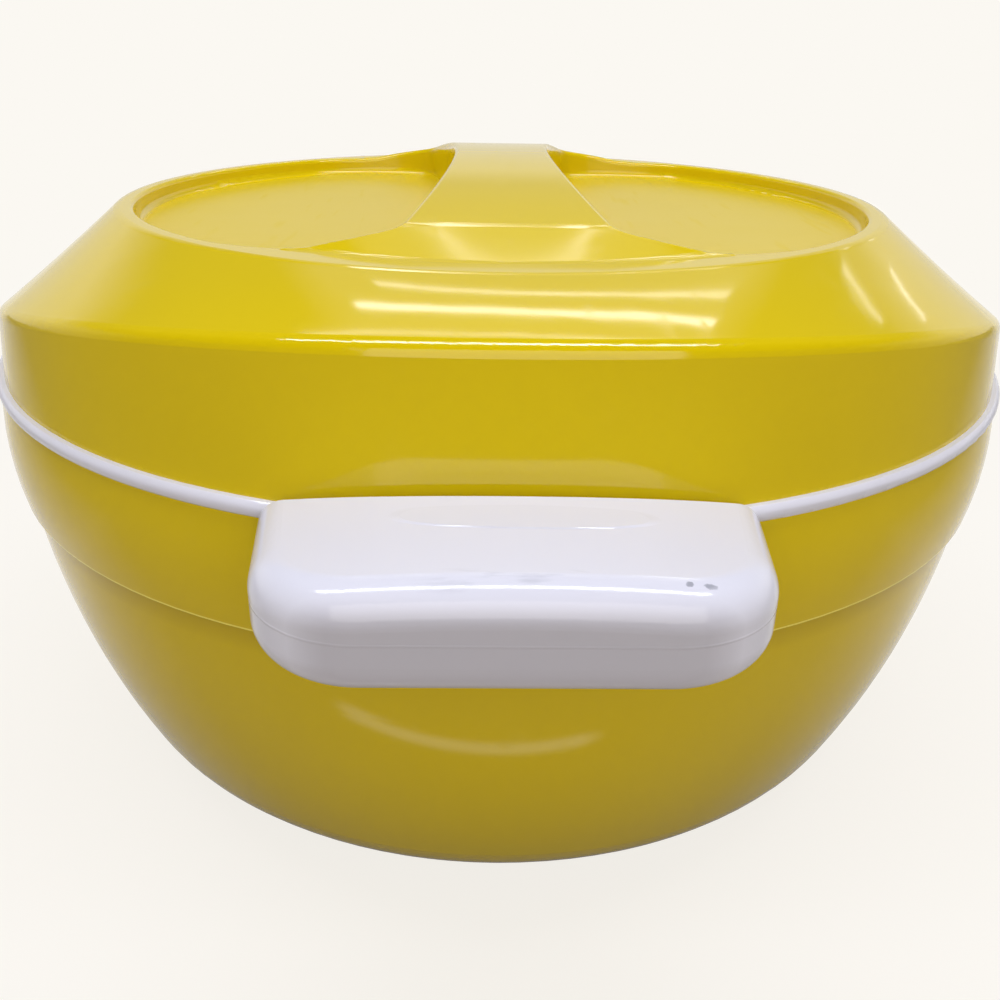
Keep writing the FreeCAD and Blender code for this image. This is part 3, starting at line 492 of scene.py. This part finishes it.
# name, place, target, width, height, power in watts, colour
LAMPS = (
    ("front_window", (0.05, -0.85, 0.46), (0.0, 0.0, 0.10), 1.1, 0.7, 4.5, WINDOW),
    ("overhead", (0.0, -0.15, 1.3), (0.0, 0.0, 0.10), 1.6, 0.15, 14.4, SKYLIGHT),
)
# lamps for the sides and the back, which reflections don't show
FILLS = (
    ("left_fill", (-0.9, 0.6, 0.4), (0.0, 0.0, 0.07), 0.7, 0.7, 3.2, PLAIN),
    ("right_fill", (0.9, 0.6, 0.4), (0.0, 0.0, 0.07), 0.7, 0.7, 3.2, PLAIN),
)
# name, bearing, height, spread and depth in degrees, power in watts
STRIPS = (
    ("upper_strip", 6.5, 31.1, 28.5, 0.5, 0.17),
    ("lower_strip", 5.3, 36.5, 31.5, 1.5, 0.62),
    ("crease_strip", 3.0, 42.6, 40.0, 0.6, 0.22),
    ("left_streak", 36.0, 22.6, 5.5, 0.4, 0.022),
    ("right_streak", 38.3, 15.5, 4.0, 0.4, 0.014),
)
STRIP_DISTANCE = 1.5
STRIP_TARGET = (0.0, -0.108, 0.137)     # the front of the shoulder


def area_light(name, place, target, width, height, power, colour=PLAIN):
    """A rectangular lamp at place, turned to target."""
    data = bpy.data.lights.new(name, "AREA")
    data.shape = "RECTANGLE"
    data.size = width
    data.size_y = height
    data.energy = power
    data.color = colour
    lamp = bpy.data.objects.new(name, data)
    SCENE.collection.objects.link(lamp)
    lamp.location = place
    aim = Vector(target) - Vector(place)
    lamp.rotation_euler = aim.to_track_quat("-Z", "Y").to_euler()
    return lamp


def strip_side(angle):
    """The side of a strip that spreads over an angle in degrees at its distance."""
    return 2.0 * STRIP_DISTANCE * math.tan(math.radians(angle / 2.0))


def strip_light(name, bearing, height, spread, depth, power):
    """A lamp seen in the shoulder at a bearing from +Y and a height, in degrees."""
    turn = math.radians(bearing)
    lift = math.radians(height)
    aim = Vector((math.sin(turn) * math.cos(lift), math.cos(turn) * math.cos(lift),
                  math.sin(lift)))
    area_light(name, Vector(STRIP_TARGET) + aim * STRIP_DISTANCE, STRIP_TARGET,
               strip_side(spread), strip_side(depth), power)


# ---------------------------------------------------------------- camera

IMAGE_PIXELS = 1000.0
SENSOR_WIDTH = 36.0                     # millimetres
CLIP_START = 0.01
FOCAL_PIXELS = 1013.0
AXIS_COLUMN = 496.0
CAMERA_DISTANCE = 0.275
CAMERA_HEIGHT = 0.1779
CAMERA_PITCH = 24.8
CAMERA_ROLL = 0.98
CAMERA_AZIMUTH = -1.2


def make_camera():
    """The photograph's viewpoint, from its fit: pitch, roll, distance and lens."""
    data = bpy.data.cameras.new("camera")
    data.sensor_width = SENSOR_WIDTH
    data.lens = SENSOR_WIDTH * FOCAL_PIXELS / IMAGE_PIXELS
    data.shift_x = (IMAGE_PIXELS / 2.0 - AXIS_COLUMN) / IMAGE_PIXELS
    data.clip_start = CLIP_START
    camera = bpy.data.objects.new("camera", data)
    SCENE.collection.objects.link(camera)
    turn = Matrix.Rotation(math.radians(CAMERA_AZIMUTH), 4, "Z")
    tilt = Matrix.Rotation(math.radians(90.0 - CAMERA_PITCH), 4, "X")
    roll = Matrix.Rotation(math.radians(CAMERA_ROLL), 4, "Z")
    place = Matrix.Translation((0.0, -CAMERA_DISTANCE, CAMERA_HEIGHT))
    camera.matrix_world = turn @ place @ tilt @ roll
    SCENE.camera = camera


make_floor()
make_world()
make_camera()
for lamp in LAMPS:
    area_light(*lamp)
for lamp in FILLS:
    area_light(*lamp).visible_glossy = False
for strip in STRIPS:
    strip_light(*strip)
SCENE.view_settings.view_transform = "Standard"
